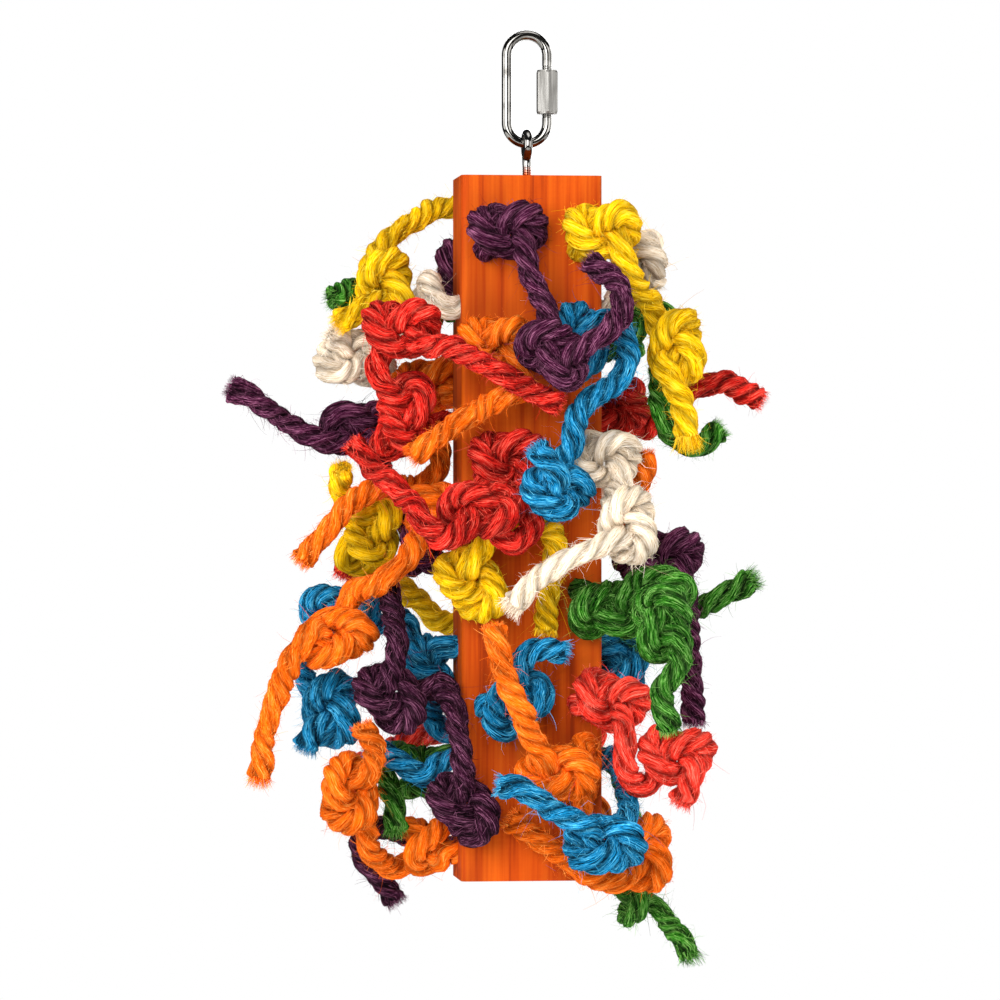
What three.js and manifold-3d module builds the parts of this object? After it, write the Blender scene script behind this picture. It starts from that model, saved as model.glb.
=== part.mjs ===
// Hanging bird toy: a drilled pine block on a quick link, with dyed sisal ropes knotted through it.
// Units are millimetres. +Z is up, -Y is the front face, and the origin is the top of the link's inside.
import * as THREE from 'three';
import Module from 'manifold-3d';

const wasm = await Module();
wasm.setup();
const { Manifold, Mesh } = wasm;

// Wooden block.
const blockWidth = 60;
const blockDepth = 38;
const blockLength = 299;
const blockEdge = 2.5;
const hangDrop = 59;

// Rope and the drilled holes it runs through.
const ropeDiameter = 7.8;
const ropeSides = 5;
const boreClearance = 1;
const columnOffset = 20;
const firstRow = 32;
const rowPitch = 48;
const sideRows = [56, 104, 152, 200, 248, 288];
const pairOffset = 10;
const boreSides = 14;
const boreLead = 0.5;
const boreInset = 2;
const cutMargin = 4;

// Overhand knot: an open three-lobed curve, scaled by the rope's diameter.
const knotSpread = 0.58;
const knotRise = 0.823;
const knotLobe = 2.5;
const knotStart = 0.75;
const knotSteps = 16;

// Rings along a rope, and the least gaps that its neighbours and the block keep from it.
const ringSpacing = 2.4;
const fineStep = 1.5;
const selfReach = 2.2;
const ropeGap = 0.25;
const blockGap = 0.2;

// Quick link with its sleeve nut.
const linkWire = 4.2;
const linkLength = 50.5;
const linkWidth = 21.6;
const nutAcross = 8.5;
const nutLength = 18.6;
const nutTop = 12.9;
const gateTop = 24.9;
const gateBottom = 29.5;
const wireSides = 10;
const bowSteps = 12;
const threadSides = 16;

// Screw eye.
const eyeWire = 3.8;
const eyeInside = 6.2;
const eyeDepth = 25;
const eyeNeck = [[0.2, 3.2], [1.2, 0.4]];
const eyeSides = 8;
const eyeOpens = 38;
const eyeCloses = 330;
const eyeTurn = 18;
const runningGap = 0.3;

const blockTop = -hangDrop;
const blockBottom = blockTop - blockLength;
const boreRadius = ropeDiameter / 2 + boreClearance;
const faceFront = -blockDepth / 2;
const faceSide = blockWidth / 2;

const dyes = {
  purple: 0x4b2a4e, yellow: 0xe8b800, red: 0xd8323a, blue: 0x1e86b8,
  orange: 0xff6a14, green: 0x2a7a2a, natural: 0xe0d0b0,
};

function material(name, colour, roughness, metalness) {
  const made = new THREE.MeshStandardMaterial({ color: colour, roughness, metalness });
  made.name = name;
  return made;
}

function toManifold(geometry) {
  let source = geometry.clone();
  source.deleteAttribute('normal');
  source.deleteAttribute('uv');
  if (source.index) {
    source = source.toNonIndexed();
  }
  const position = source.attributes.position;
  const keys = new Map();
  const vertices = [];
  const triangles = [];
  for (let i = 0; i < position.count; i++) {
    const point = [position.getX(i), position.getY(i), position.getZ(i)];
    const key = point.map((value) => Math.round(value * 1e4)).join(',');
    if (!keys.has(key)) {
      keys.set(key, vertices.length / 3);
      vertices.push(...point);
    }
    triangles.push(keys.get(key));
  }
  const kept = [];
  for (let i = 0; i < triangles.length; i += 3) {
    const [a, b, c] = triangles.slice(i, i + 3);
    if (a !== b && b !== c && c !== a) {
      kept.push(a, b, c);
    }
  }
  const mesh = new Mesh({
    numProp: 3,
    vertProperties: new Float32Array(vertices),
    triVerts: new Uint32Array(kept),
  });
  return new Manifold(mesh);
}

function fromManifold(solid) {
  const mesh = solid.getMesh();
  const geometry = new THREE.BufferGeometry();
  geometry.setAttribute('position', new THREE.BufferAttribute(new Float32Array(mesh.vertProperties), 3));
  geometry.setIndex(new THREE.BufferAttribute(new Uint32Array(mesh.triVerts), 1));
  geometry.computeVertexNormals();
  return geometry;
}

function rod(radius, length, sides, axis, centre) {
  const geometry = new THREE.CylinderGeometry(radius, radius, length, sides);
  if (axis === 'x') {
    geometry.rotateZ(Math.PI / 2);
  }
  if (axis === 'z') {
    geometry.rotateX(Math.PI / 2);
  }
  geometry.translate(...centre);
  return geometry;
}

function ringShape(radius, sides) {
  const corners = [];
  for (let i = 0; i < sides; i++) {
    const turn = 2 * Math.PI * i / sides;
    corners.push(new THREE.Vector2(radius * Math.cos(turn), radius * Math.sin(turn)));
  }
  return new THREE.Shape(corners);
}

// A smooth path whose rings fall on its own points, so bends get more rings than straight runs.
class PointPath extends THREE.CatmullRomCurve3 {
  constructor(points) {
    super(points, false, 'centripetal');
  }

  getUtoTmapping(u) {
    return u;
  }
}

function tube(points, radius, sides) {
  const path = new PointPath(points);
  return new THREE.ExtrudeGeometry(ringShape(radius, sides), {
    steps: points.length - 1,
    bevelEnabled: false,
    extrudePath: path,
  });
}

// Points of one overhand knot. Facing is the yaw of the side it shows, heading its way across that side.
function knotPoints([x, y, z, facing, heading, side]) {
  const yaw = THREE.MathUtils.degToRad(facing);
  const turn = THREE.MathUtils.degToRad(heading);
  const outward = new THREE.Vector3(Math.sin(yaw), -Math.cos(yaw), 0);
  const level = new THREE.Vector3(Math.cos(yaw), Math.sin(yaw), 0);
  const along = level.clone().multiplyScalar(Math.cos(turn));
  along.z += Math.sin(turn);
  const across = new THREE.Vector3().crossVectors(outward, along).multiplyScalar(side);
  const spread = knotSpread * ropeDiameter;
  const rise = knotRise * ropeDiameter;
  const points = [];
  for (let i = 0; i <= knotSteps; i++) {
    const t = Math.PI + knotStart + 2 * (Math.PI - knotStart) * i / knotSteps;
    const local = new THREE.Vector3(x, y, z);
    local.addScaledVector(along, -spread * (Math.sin(t) + knotLobe * Math.sin(2 * t)));
    local.addScaledVector(across, spread * (Math.cos(t) - knotLobe * Math.cos(2 * t) - 0.5));
    local.addScaledVector(outward, rise * Math.sin(3 * t));
    points.push(local);
  }
  return points;
}

// A tail is a list of places from the hole outwards: three numbers for a point, six for a knot.
function tailPoints(tail) {
  return tail.flatMap((place) => {
    if (place.length > 3) {
      return knotPoints(place);
    }
    return [new THREE.Vector3(...place)];
  });
}

// Front-to-back ropes, by row and column: the front tail, then the back tail.
const frontRopes = [
  { name: 'rope_front_1_left', dye: 'purple', row: 0, column: -1, tails: [[
    [-11.5, -31.5, -83.5, 0, 0, 1],
    [-3.5, -40, -102], [1.5, -46, -114],
    [5, -57, -135, 0, -40, -1],
    [26, -62, -127], [33, -60, -117], [31, -55, -106], [21, -50, -98],
  ], [
    [-24, 31.5, -99.5, 180, 270, 1],
    [-7, 40, -108], [0, 41, -116], [2, 40, -126],
  ]] },
  { name: 'rope_front_1_right', dye: 'yellow', row: 0, column: 1, tails: [[
    [28.5, -31.5, -83.5, 0, 0, 1],
    [39, -37, -100], [44, -33, -109], [50, -28, -114],
    [60, -28, -132, 0, 270, 1],
    [58, -36, -148], [62, -36, -157], [64, -34, -168],
  ], [
    [27, 31.5, -82.5, 180, 90, 1],
    [8, 40, -70], [-6, 41, -69], [-22, 40, -69], [-36, 34, -70.5], [-44, 27, -75],
    [-52.5, 20, -80.5], [-61, 13, -88],
    [-61, 2, -106, 0, 270, 1],
    [-80, -6, -121],
  ]] },
  { name: 'rope_front_2_left', dye: 'orange', row: 1, column: -1, tails: [[
    [-16, -33, -131.5, 0, 0, 1],
    [-7, -43, -149], [-18, -43, -155], [-30, -43, -162], [-42, -44, -170], [-52, -43, -177],
  ], [
    [-28.5, 31.5, -146.5, 180, 0, -1],
    [-47, 36, -141], [-53, 28, -146], [-51, 18, -153], [-42, 13, -161], [-37, 11, -171], [-37, 8, -182],
    [-44, 3, -190], [-56, -5, -191], [-73, -15, -195], [-85, -18, -207], [-97, -19, -221],
  ]] },
  { name: 'rope_front_2_right', dye: 'blue', row: 1, column: 1, tails: [[
    [18.5, -31.5, -130, 0, 90, 1],
    [33, -39, -121], [38, -42, -133], [34, -45, -146], [22, -46, -154], [15, -48, -163], [13.5, -48, -173],
    [6, -57, -193, 50, 180, 1],
    [-3, -68, -176],
  ], [
    [13, 31.5, -147.5, 180, 270, 1],
    [31, 39, -155], [37, 38, -161], [38, 36, -169],
  ]] },
  { name: 'rope_front_3_left', dye: 'red', row: 2, column: -1, tails: [[
    [-11.5, -31.5, -179.5, 0, 0, 1],
    [-4, -42, -195], [-4, -45, -204], [-6, -49, -211], [-13, -53, -215],
    [-26, -57, -201, 0, 180, -1],
    [-41, -63, -213], [-48, -58, -208], [-54, -51, -199], [-61, -48, -191], [-70, -46, -183],
    [-77, -44, -174],
  ], [
    [-13, 31.5, -195.5, 180, 270, -1],
    [-32, 42, -205], [-42, 44, -197], [-50, 43, -192], [-59, 41, -200], [-68, 38, -214], [-75, 35, -228],
  ]] },
  { name: 'rope_front_3_right', dye: 'natural', row: 2, column: 1, tails: [[
    [28.5, -31.5, -179.5, 0, 0, 1],
    [33, -43, -194],
    [35.5, -55, -207, 0, 270, 1],
    [17, -61, -218], [6, -60, -224], [-4, -57, -231], [-11, -55, -239],
  ], [
    [27, 31.5, -195.5, 180, 270, -1],
    [9, 40, -204], [4, 41, -210], [4, 40, -218],
  ]] },
  { name: 'rope_front_4_left', dye: 'yellow', row: 3, column: -1, tails: [[
    [-27, -32.5, -231.5, 0, 135, 1],
    [-20, -38, -212], [-9, -38, -209], [3, -36, -207], [8, -34, -214], [6, -33, -230], [4, -33, -250],
  ], [
    [-15.5, 31.5, -243.5, 180, 270, -1],
    [-34, 41, -249], [-44, 42, -239], [-55, 36, -232], [-67, 27, -226], [-76, 20, -221],
    [-66, 12, -208, 0, 90, -1],
    [-80, 0, -192], [-80, -8, -184],
  ]] },
  { name: 'rope_front_4_right', dye: 'green', row: 3, column: 1, tails: [[
    [30.5, -31.5, -242.5, 0, 0, -1],
    [44, -39, -230], [53, -44, -229], [61, -49, -234],
    [50.5, -57, -248, 0, 270, -1],
    [57, -62, -264], [50, -60, -276], [53, -57, -291],
  ], [
    [15.5, 31.5, -243.5, 180, 270, 1],
    [36, 41, -252], [50, 38, -249], [62, 28, -245], [74, 16, -244], [84, 11, -239.5], [97, 8, -232],
  ]] },
  { name: 'rope_front_5_left', dye: 'blue', row: 4, column: -1, tails: [[
    [-9, -31.5, -282, 0, 45, -1],
    [-6, -40, -263], [1, -41, -259], [10, -40, -260],
  ], [
    [-15.5, 31.5, -291.5, 180, 270, -1],
    [-33, 40, -297], [-37, 38, -286], [-37, 36, -274],
  ]] },
  { name: 'rope_front_5_right', dye: 'red', row: 4, column: 1, tails: [[
    [32, -31.5, -281.5, 0, -20, 1],
    [36, -43, -300], [37.5, -42, -311], [45, -36, -317],
    [59, -38, -304.5, 0, 0, 1],
    [60, -47, -322],
  ], [
    [27, 31.5, -291.5, 180, 270, -1],
    [8, 46, -299], [-8, 52, -295], [-26, 52, -296], [-43, 50, -301], [-58, 46, -306],
    [-68, 37, -311], [-71, 27, -319],
  ]] },
  { name: 'rope_front_6_left', dye: 'purple', row: 5, column: -1, tails: [[
    [-30, -32, -325, 0, 135, 1],
    [-32, -42, -305], [-34, -41, -293], [-35, -33, -283], [-40, -20, -275],
    [-60.5, -27, -279, 0, 135, 1],
    [-59, -32, -257], [-60, -23, -244], [-61, -17, -231],
  ], [
    [-13, 31.5, -339.5, 180, 270, -1],
    [-34, 40, -347], [-48, 40, -342], [-61, 36, -339], [-69, 30, -343], [-67, 27, -353],
    [-60, 25, -361], [-55, 24, -368],
  ]] },
  { name: 'rope_front_6_right', dye: 'orange', row: 5, column: 1, tails: [[
    [22, -26, -321], [24, -26, -310], [22, -29, -300],
    [8, -42, -311, 0, 180, 1],
    [-4, -50, -295], [-8, -53, -286], [-13, -54, -276], [-17, -53, -264], [-20, -51, -251],
  ], [
    [27, 31.5, -339.5, 180, 270, -1],
    [9, 40, -348], [4, 40, -356],
  ]] },
];

// Side-to-side ropes, by row and depth: the left tail, then the right tail.
const sideRopes = [
  { name: 'rope_side_1_front', dye: 'natural', row: 0, depth: -1, tails: [[
    [-39, -9, -112], [-42, -6, -104], [-42, 2, -103], [-45, 5, -112], [-48, 4, -124], [-56, 8, -130],
    [-73, 7, -135.5, 0, 180, 1],
    [-83, 0, -127],
  ], [
    [38, -9.5, -110],
    [48.5, 1, -93, 90, 0, 1],
    [56, 11, -103],
  ]] },
  { name: 'rope_side_1_back', dye: 'green', row: 0, depth: 1, tails: [[
    [-39, 15, -117], [-47, 25, -114], [-59, 28, -109], [-71, 24, -106], [-81, 16, -110],
  ], [
    [43, 20, -125, 90, 0, -1],
    [57, 27, -114], [65, 13, -121], [62, -3, -129], [56, -10, -139], [55, -14, -151], [57, -15, -162],
    [62, -12, -170], [71, -10, -174], [81, -8, -167],
  ]] },
  { name: 'rope_side_2', dye: 'red', row: 1, depth: 0, tails: [[
    [-41, -2, -166], [-51, -5, -173], [-63, -11, -174],
    [-54, -24, -160, 0, 90, -1],
    [-66, -28, -142],
    [-57, -36, -125, 0, 0, 1],
    [-38, -50, -133], [-24, -51, -140], [-14, -52, -146], [-4, -52, -151], [6, -50, -156],
  ], [
    [42.5, 12, -156, 90, 0, 1],
    [54, 18, -166], [62, 10, -159], [72, 1, -149], [85, -4, -146.5], [99, -4, -153],
  ]] },
  { name: 'rope_side_3_front', dye: 'orange', row: 2, depth: -1, tails: [[
    [-42.5, -19, -202.5, -90, 0, 1],
    [-52, -31, -218], [-60, -32, -226], [-68, -27, -233], [-75, -18, -235],
    [-84, -20, -254, 0, 200, 1],
    [-101, -28, -261], [-107, -26, -274], [-111, -22, -287], [-114, -19, -300], [-115, -17, -312],
  ], [
    [37.5, -12, -205], [44, -15, -195], [48, -16, -186], [48, -17, -178],
  ]] },
  { name: 'rope_side_3_back', dye: 'purple', row: 2, depth: 1, tails: [[
    [-42.5, 19, -217, -90, 180, 1],
    [-50, 28, -200], [-57, 24, -188], [-63, 17, -178],
    [-71, 7, -166.5, 0, 180, -1],
    [-86, 0, -172], [-95, 0, -168], [-104, 0, -163], [-112, 0, -157], [-119, 0, -152], [-125, 0, -149],
  ], [
    [40, 11, -215], [45, 6, -226],
    [59, -8, -221.5, 0, 0, 1],
    [67, -15, -241], [68, -15, -256], [69, -14, -273], [70, -14, -290],
  ]] },
  { name: 'rope_side_4', dye: 'blue', row: 3, depth: 0, tails: [[
    [-42.5, 9, -266, -90, 180, 1],
    [-51, 17, -248], [-60, 15, -250],
    [-79.5, 8, -245, 0, 180, -1],
    [-93, 3, -257], [-96, 6, -267],
    [-84, 6, -286, 0, 270, 1],
    [-94, 0, -301],
  ], [
    [42.5, 9, -266, 90, 0, -1],
    [50, 17, -250], [58, 10, -242],
  ]] },
  { name: 'rope_side_5_front', dye: 'blue', row: 4, depth: -1, tails: [[
    [-39, -11, -309], [-46, -14, -313], [-54, -12, -309], [-61, -10, -304], [-67, -8, -302],
  ], [
    [38, -12, -308], [39.5, -21, -316], [39, -33, -325], [37, -44, -330],
    [26, -56, -339, 0, 180, 1],
    [9, -63, -328], [0, -61, -323], [-10, -60, -316], [-17, -59, -315],
  ]] },
  { name: 'rope_side_5_back', dye: 'green', row: 4, depth: 1, tails: [[
    [-42.5, 20, -314, -90, 180, 1],
    [-55, 26, -305], [-62, 18, -309], [-59, 7, -318], [-57, 0, -327], [-57, -4, -336],
  ], [
    [39, 12, -310], [44, 13, -322], [48, 18, -336], [51, 21, -346],
    [49, 12, -364, 50, 270, -1],
    [64, 10, -381], [68, 6, -386], [70, 3, -391],
  ]] },
  { name: 'rope_side_6', dye: 'orange', row: 5, depth: 0, tails: [[
    [-42.5, 8, -345, -90, 180, -1],
    [-54, 14, -354], [-62, 4, -351], [-69, -8, -343],
    [-77, -18, -320.5, 0, 90, 1],
    [-67, -26, -303], [-72, -26, -293],
  ], [
    [39, -2, -346],
    [48.5, -14, -347, 0, 270, 1],
    [36, -26, -358], [26, -28, -356], [14, -28, -348], [2, -27, -340], [-9, -26, -332],
  ]] },
];

function boreOf(rope) {
  if (rope.column !== undefined) {
    return { x: rope.column * columnOffset, z: blockTop - firstRow - rope.row * rowPitch };
  }
  return { y: rope.depth * pairOffset, z: blockTop - sideRows[rope.row] };
}

// The whole line of one rope: the first tail reversed, the run through its hole, the second tail.
function ropeLine(rope) {
  const bore = boreOf(rope);
  const run = [];
  const reach = bore.x === undefined ? faceSide : -faceFront;
  const lead = reach + ropeDiameter / 2 + boreLead;
  for (const place of [-lead, boreInset - reach, 0, reach - boreInset, lead]) {
    if (bore.x === undefined) {
      run.push(new THREE.Vector3(place, bore.y, bore.z));
    } else {
      run.push(new THREE.Vector3(bore.x, place, bore.z));
    }
  }
  return [...tailPoints(rope.tails[0]).reverse(), ...run, ...tailPoints(rope.tails[1])];
}

function ropeRings(points) {
  const path = new PointPath(points);
  const rings = [];
  for (let i = 0; i < points.length - 1; i++) {
    const span = points[i].distanceTo(points[i + 1]);
    const pieces = Math.max(1, Math.ceil(span / (ringSpacing * ropeDiameter)));
    for (let k = 0; k < pieces; k++) {
      rings.push(path.getPoint((i + k / pieces) / (points.length - 1)));
    }
  }
  rings.push(points.at(-1).clone());
  return rings;
}

// Points close together along the rings, with their distance along the rope.
function fineLine(rings) {
  const fine = [];
  let along = 0;
  for (let i = 0; i < rings.length - 1; i++) {
    const span = rings[i].distanceTo(rings[i + 1]);
    const pieces = Math.max(1, Math.round(span / fineStep));
    for (let k = 0; k < pieces; k++) {
      const point = rings[i].clone().lerp(rings[i + 1], k / pieces);
      fine.push({ point, along: along + span * k / pieces });
    }
    along += span;
  }
  return fine;
}

function leastGap(first, second) {
  const found = { gap: Infinity, at: null };
  for (const a of first) {
    for (const b of second) {
      if (first === second && b.along - a.along < selfReach * ropeDiameter) {
        continue;
      }
      const gap = a.point.distanceTo(b.point) - ropeDiameter;
      if (gap < found.gap) {
        found.gap = gap;
        found.at = a.point;
      }
    }
  }
  return found;
}

function printGaps(ropes) {
  let least = Infinity;
  for (let i = 0; i < ropes.length; i++) {
    for (let j = i; j < ropes.length; j++) {
      const { gap, at } = leastGap(ropes[i].fine, ropes[j].fine);
      least = Math.min(least, gap);
      if (gap < ropeGap) {
        const place = at.toArray().map((value) => value.toFixed(0)).join(', ');
        console.log(`${ropes[i].name} and ${ropes[j].name}: gap ${gap.toFixed(2)} mm near ${place}`);
      }
    }
    for (const { point } of ropes[i].fine) {
      const away = new THREE.Vector3(
        Math.max(0, Math.abs(point.x) - faceSide),
        Math.max(0, Math.abs(point.y) + faceFront),
        Math.max(0, point.z - blockTop, blockBottom - point.z),
      ).length() - ropeDiameter / 2;
      const bore = ropes[i].bore;
      const across = bore.x === undefined ? point.y - bore.y : point.x - bore.x;
      const inBore = Math.hypot(across, point.z - bore.z) < boreClearance;
      if (!inBore && away < blockGap) {
        const place = point.toArray().map((value) => value.toFixed(0)).join(', ');
        console.log(`${ropes[i].name} and block: gap ${away.toFixed(2)} mm near ${place}`);
      }
    }
  }
  console.log(`least gap between ropes ${least.toFixed(2)} mm`);
}

function buildBlock(ropes) {
  const half = new THREE.Vector2(blockWidth / 2, blockDepth / 2);
  const outline = new THREE.Shape();
  const corners = [[1, -1, -90], [1, 1, 0], [-1, 1, 90], [-1, -1, 180]];
  for (const [sx, sy, start] of corners) {
    const from = THREE.MathUtils.degToRad(start);
    const across = sx * (half.x - blockEdge);
    const deep = sy * (half.y - blockEdge);
    outline.absarc(across, deep, blockEdge, from, from + Math.PI / 2);
  }
  const board = new THREE.ExtrudeGeometry(outline, {
    depth: blockLength, bevelEnabled: false, curveSegments: 3,
  });
  board.translate(0, 0, blockBottom);
  let solid = toManifold(board);
  for (const { bore } of ropes) {
    const hole = bore.x === undefined
      ? rod(boreRadius, blockWidth + cutMargin, boreSides, 'x', [0, bore.y, bore.z])
      : rod(boreRadius, blockDepth + cutMargin, boreSides, 'y', [bore.x, 0, bore.z]);
    solid = solid.subtract(toManifold(hole));
  }
  const pilotLength = eyeDepth + cutMargin;
  const pilotMiddle = blockTop - eyeDepth + pilotLength / 2 - runningGap;
  const pilot = rod(eyeWire / 2 + runningGap, pilotLength, boreSides, 'z', [0, 0, pilotMiddle]);
  return fromManifold(solid.subtract(toManifold(pilot)));
}

// The link is one bent wire, open at the gate in its right leg.
function buildLink() {
  const bow = (linkWidth - linkWire) / 2;
  const upper = linkWire / 2 - bow;
  const lower = linkWire - linkLength + linkWire / 2 + bow;
  const points = [
    new THREE.Vector3(bow, 0, -gateBottom),
    new THREE.Vector3(bow, 0, (lower - gateBottom) / 2),
  ];
  for (let i = 0; i <= bowSteps; i++) {
    const turn = -Math.PI * i / bowSteps;
    points.push(new THREE.Vector3(bow * Math.cos(turn), 0, lower + bow * Math.sin(turn)));
  }
  points.push(new THREE.Vector3(-bow, 0, (lower + upper) / 2));
  for (let i = 0; i <= bowSteps; i++) {
    const turn = Math.PI - Math.PI * i / bowSteps;
    points.push(new THREE.Vector3(bow * Math.cos(turn), 0, upper + bow * Math.sin(turn)));
  }
  points.push(new THREE.Vector3(bow, 0, (upper - gateTop) / 2), new THREE.Vector3(bow, 0, -gateTop));
  return tube(points, linkWire / 2, wireSides);
}

function buildNut() {
  const bow = (linkWidth - linkWire) / 2;
  const middle = [bow, 0, -nutTop - nutLength / 2];
  const hex = toManifold(rod(nutAcross / Math.sqrt(3), nutLength, 6, 'z', middle));
  const bore = toManifold(rod(linkWire / 2 + runningGap, nutLength + cutMargin, threadSides, 'z', middle));
  return fromManifold(hex.subtract(bore));
}

// The eye hangs on the link's lower bow: a shank, a bend and most of a ring.
function buildEye() {
  const saddle = linkWire + linkWire - linkLength;
  const radius = (eyeInside + eyeWire) / 2;
  const centre = saddle + runningGap - eyeInside / 2;
  const neck = centre - radius;
  const points = [
    new THREE.Vector3(0, 0, blockTop - eyeDepth),
    new THREE.Vector3(0, 0, blockTop - eyeDepth / 2),
    new THREE.Vector3(0, 0, blockTop),
    ...eyeNeck.map(([back, below]) => new THREE.Vector3(0, back, neck - below)),
  ];
  for (let angle = eyeOpens; angle <= eyeCloses; angle += eyeTurn) {
    const turn = THREE.MathUtils.degToRad(angle);
    points.push(new THREE.Vector3(0, radius * Math.sin(turn), centre - radius * Math.cos(turn)));
  }
  return tube(points, eyeWire / 2, eyeSides);
}

const ropes = [...frontRopes, ...sideRopes].map((rope) => {
  const rings = ropeRings(ropeLine(rope));
  return { ...rope, rings, bore: boreOf(rope), fine: fineLine(rings) };
});
printGaps(ropes);

const steel = material('zinc plated steel', 0xb8bcc0, 0.35, 0.9);
const pine = material('orange dyed pine', 0xe8590c, 0.75, 0);
const sisal = {};
for (const [dye, colour] of Object.entries(dyes)) {
  sisal[dye] = material(`sisal ${dye}`, colour, 0.9, 0);
}

const toy = new THREE.Group();
toy.name = 'bird_toy';

function add(name, geometry, look) {
  const mesh = new THREE.Mesh(geometry, look);
  mesh.name = name;
  toy.add(mesh);
}

add('quick_link', buildLink(), steel);
add('link_nut', buildNut(), steel);
add('screw_eye', buildEye(), steel);
add('block', buildBlock(ropes), pine);
for (const rope of ropes) {
  add(rope.name, tube(rope.rings, ropeDiameter / 2, ropeSides), sisal[rope.dye]);
}

export default toy;
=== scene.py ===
import math

import bpy
import numpy
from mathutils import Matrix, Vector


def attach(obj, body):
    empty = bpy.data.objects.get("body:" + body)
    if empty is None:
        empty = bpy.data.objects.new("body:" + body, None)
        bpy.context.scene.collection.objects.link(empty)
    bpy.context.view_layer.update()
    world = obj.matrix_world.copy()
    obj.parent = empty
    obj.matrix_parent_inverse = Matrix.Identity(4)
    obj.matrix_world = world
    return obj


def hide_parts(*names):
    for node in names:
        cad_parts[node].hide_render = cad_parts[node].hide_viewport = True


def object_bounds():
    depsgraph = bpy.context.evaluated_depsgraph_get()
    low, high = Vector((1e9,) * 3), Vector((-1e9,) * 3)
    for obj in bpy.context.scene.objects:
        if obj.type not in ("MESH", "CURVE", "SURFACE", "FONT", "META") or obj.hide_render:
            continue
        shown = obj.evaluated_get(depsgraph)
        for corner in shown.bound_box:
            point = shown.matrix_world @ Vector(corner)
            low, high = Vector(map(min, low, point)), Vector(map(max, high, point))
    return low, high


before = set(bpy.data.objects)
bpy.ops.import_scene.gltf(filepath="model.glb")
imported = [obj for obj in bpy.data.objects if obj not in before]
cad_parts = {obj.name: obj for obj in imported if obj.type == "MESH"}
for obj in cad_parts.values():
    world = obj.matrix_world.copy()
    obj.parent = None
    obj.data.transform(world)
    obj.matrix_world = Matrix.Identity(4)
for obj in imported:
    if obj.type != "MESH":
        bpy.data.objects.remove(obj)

# Hanging bird toy: a drilled pine block on a quick link, with dyed sisal ropes knotted through it.
# Sizes are in millimetres and become metres where a mesh is made. The front face is at -Y.
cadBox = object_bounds()
metre = 0.001
print("stage: frame loaded")


def linear(code):
    # sRGB to linear: c / 12.92 up to 0.04045, then ((c + 0.055) / 1.055) to the power 2.4
    values = []
    for start in (1, 3, 5):
        channel = int(code[start:start + 2], 16) / 255
        if channel <= 0.04045:
            values.append(channel / 12.92)
        else:
            values.append(((channel + 0.055) / 1.055) ** 2.4)
    return (*values, 1.0)


# A node with its settings. An input that is a socket is linked, and any other is set.
def addNode(tree, kind, settings=None, inputs=None):
    made = tree.nodes.new(kind)
    for key, value in (settings or {}).items():
        setattr(made, key, value)
    for key, value in (inputs or {}).items():
        if isinstance(value, bpy.types.NodeSocket):
            tree.links.new(value, made.inputs[key])
        else:
            made.inputs[key].default_value = value
    return made


def newMaterial(name):
    material = bpy.data.materials.new(name)
    material.use_nodes = True
    tree = material.node_tree
    tree.nodes.clear()
    return material, tree


def finishMaterial(tree, shader):
    addNode(tree, "ShaderNodeOutputMaterial", None, {"Surface": shader.outputs["BSDF"]})


def addRamp(tree, factor, stops):
    ramp = addNode(tree, "ShaderNodeValToRGB", None, {"Fac": factor})
    elements = ramp.color_ramp.elements
    while len(elements) < len(stops):
        elements.new(0.5)
    for element, (place, colour) in zip(elements, stops):
        element.position = place
        element.color = colour
    return ramp


# A mesh object at the origin, from points in millimetres.
def makeObject(name, points, faces, material, smooth=True):
    mesh = bpy.data.meshes.new(name)
    corners = [list(map(int, face)) for face in faces]
    mesh.from_pydata((numpy.asarray(points) * metre).tolist(), [], corners)
    mesh.polygons.foreach_set("use_smooth", numpy.full(len(mesh.polygons), smooth))
    mesh.materials.append(material)
    mesh.update()
    made = bpy.data.objects.new(name, mesh)
    bpy.context.scene.collection.objects.link(made)
    return made


def addAttribute(made, name, kind, values):
    attribute = made.data.attributes.new(name, kind, "POINT")
    field = "vector" if kind == "FLOAT_VECTOR" else "value"
    attribute.data.foreach_set(field, numpy.ascontiguousarray(values, dtype=numpy.float32).ravel())


# Faces with four corners between rings of points, each ring closed and joined to the next.
def gridFaces(rings, around):
    first = numpy.arange(rings - 1)[:, None] * around
    here = numpy.arange(around)[None, :]
    after = (here + 1) % around
    corners = [first + here, first + after, first + around + after, first + around + here]
    return numpy.stack(corners, axis=-1).reshape(-1, 4)


# Triangles from one ring of points to the point at its centre.
def fanFaces(ring, around, centre, outward):
    here = numpy.arange(around)
    after = (here + 1) % around
    pair = (here, after) if outward else (after, here)
    first = ring * around
    return numpy.stack([first + pair[0], first + pair[1], numpy.full(around, centre)], axis=-1)


def unit(vectors):
    return vectors / numpy.linalg.norm(vectors, axis=-1, keepdims=True)


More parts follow.
